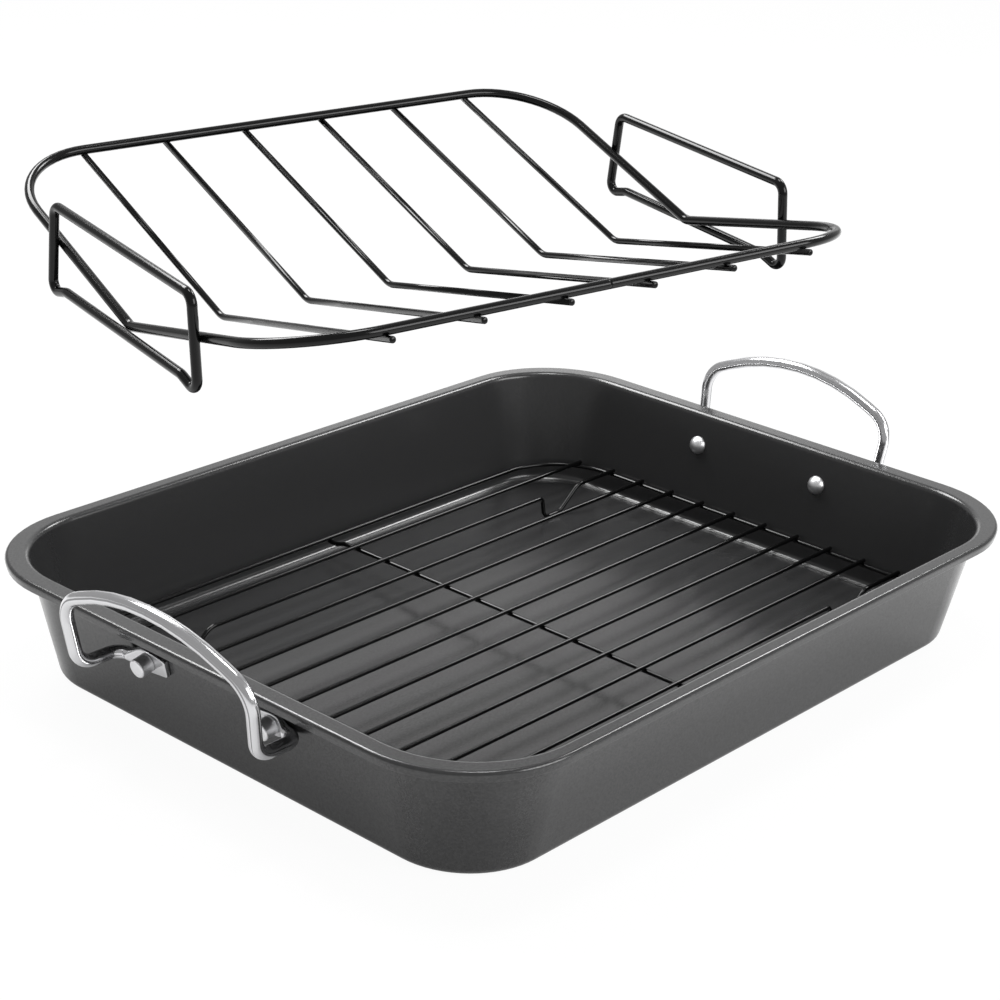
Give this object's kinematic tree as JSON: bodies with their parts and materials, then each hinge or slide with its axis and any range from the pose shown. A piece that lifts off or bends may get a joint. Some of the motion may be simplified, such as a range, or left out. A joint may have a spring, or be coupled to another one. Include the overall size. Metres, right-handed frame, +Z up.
{
  "type": "roasting pan with rack",
  "caption": "Rectangular non-stick roasting pan with bail handles, a flat wire rack on its floor and a V-shaped wire rack that lifts out.",
  "frame": {"origin": "centre of the pan's flat underside", "axes": "+X along the pan's long side towards one handle, +Z up out of the pan's mouth"},
  "size_m": [0.478, 0.346, 0.2578],
  "materials": {
    "pan": "satin non-stick coating on sheet steel",
    "handle": "polished chrome plate",
    "rivet": "plain bright steel",
    "rack_wire": "semi-gloss black non-stick coating on steel wire"
  },
  "bodies": {
    "pan": {"pan_body": "pan", "left_handle": "handle", "right_handle": "handle", "left_handle_rivets": "rivet", "right_handle_rivets": "rivet"},
    "flat_rack": {"flat_rack_frame": "rack_wire", "flat_rack_cross_wire": "rack_wire", "flat_rack_wire_01": "rack_wire", "flat_rack_foot_wire_front": "rack_wire", "flat_rack_wire_03": "rack_wire", "flat_rack_wire_04": "rack_wire", "flat_rack_wire_05": "rack_wire", "flat_rack_wire_06": "rack_wire", "flat_rack_wire_07": "rack_wire", "flat_rack_wire_08": "rack_wire", "flat_rack_wire_09": "rack_wire", "flat_rack_wire_10": "rack_wire", "flat_rack_foot_wire_back": "rack_wire", "flat_rack_wire_12": "rack_wire"},
    "v_rack": {"v_rack_frame": "rack_wire", "v_rack_wire_1": "rack_wire", "v_rack_wire_2": "rack_wire", "v_rack_wire_3": "rack_wire", "v_rack_wire_4": "rack_wire", "v_rack_wire_5": "rack_wire", "v_rack_wire_6": "rack_wire", "v_rack_end_left": "rack_wire", "v_rack_end_right": "rack_wire"}
  },
  "joints": [
    {"name": "flat_rack_lift", "type": "slide", "parent": "pan", "child": "flat_rack", "axis": [0, 0, 1], "range_m": [0, 0.1]},
    {"name": "v_rack_lift", "type": "slide", "parent": "flat_rack", "child": "v_rack", "axis": [-0.3283, 0.0128, 0.9445], "range_m": [-0.19553, 0]}
  ]
}
